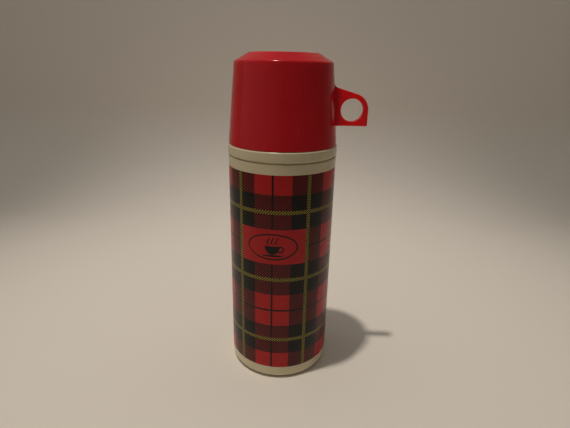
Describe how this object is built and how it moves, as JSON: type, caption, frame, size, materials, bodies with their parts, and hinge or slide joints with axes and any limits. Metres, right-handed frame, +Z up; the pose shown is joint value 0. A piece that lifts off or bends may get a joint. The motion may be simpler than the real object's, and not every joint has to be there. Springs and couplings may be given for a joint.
{
  "type": "vacuum flask",
  "caption": "Slim vacuum flask with a plaid-printed casing, a screw-on drinking cup with a ring handle, a screw-in stopper and a double-walled glass bottle.",
  "frame": {"origin": "on the flask's axis at the face it stands on", "axes": "+Z up along the axis, +X towards the cup's ring handle, -Y the front of the printed sleeve"},
  "size_m": [0.089, 0.0706, 0.214],
  "materials": {
    "red_cup": "glossy moulded plastic, vivid red",
    "cream_plastic": "semi-gloss moulded plastic, ivory",
    "plaid_print": "satin printed sheet, red, black and yellow plaid",
    "stopper_plastic": "satin moulded plastic, off-white",
    "foam": "expanded foam",
    "seal_rubber": "soft grey rubber",
    "silvered_glass": "clear glass silvered on the faces towards the vacuum",
    "pad_felt": "pressed felt",
    "cushion_felt": "pressed felt",
    "cushion_rubber": "black rubber"
  },
  "bodies": {
    "casing": {"jacket": "cream_plastic", "printed_sleeve": "plaid_print", "glass_inner": "silvered_glass", "glass_outer": "silvered_glass", "spacer_pads": "pad_felt", "side_cushion": "cushion_felt", "base_cushion": "cushion_rubber"},
    "seal": {"neck_seal": "seal_rubber"},
    "neck": {"collar": "cream_plastic"},
    "seat": {"seat_ring": "cream_plastic"},
    "lid": {"cup": "red_cup"},
    "gasket": {"stopper_gasket": "seal_rubber"},
    "stopper": {"stopper_body": "stopper_plastic", "stopper_cap": "stopper_plastic", "stopper_foam": "foam"}
  },
  "joints": [
    {"name": "collar_rise", "type": "slide", "parent": "casing", "child": "seal", "axis": [0, 0, 1], "range_m": [0, 0.0141]},
    {"name": "collar_turn", "type": "hinge", "parent": "seal", "child": "neck", "pos_m": [0, 0, 0.15], "axis": [0, 0, 1], "range_deg": [0, 1260]},
    {"name": "cup_turn", "type": "hinge", "parent": "neck", "child": "seat", "pos_m": [0, 0, 0.157], "axis": [0, 0, 1], "range_deg": [0, 1440]},
    {"name": "cup_rise", "type": "slide", "parent": "seat", "child": "lid", "axis": [0, 0, 1], "range_m": [0, 0.0321]},
    {"name": "stopper_rise", "type": "slide", "parent": "neck", "child": "gasket", "axis": [0, 0, 1], "range_m": [0, 0.0251]},
    {"name": "stopper_turn", "type": "hinge", "parent": "gasket", "child": "stopper", "pos_m": [0, 0, 0.176], "axis": [0, 0, 1], "range_deg": [0, 1800]}
  ],
  "couplings": [
    {"joint": "collar_rise", "follows": "collar_turn", "m_per_rad": 0.00063662},
    {"joint": "cup_rise", "follows": "cup_turn", "m_per_rad": 0.0012732},
    {"joint": "stopper_rise", "follows": "stopper_turn", "m_per_rad": 0.00079577}
  ]
}
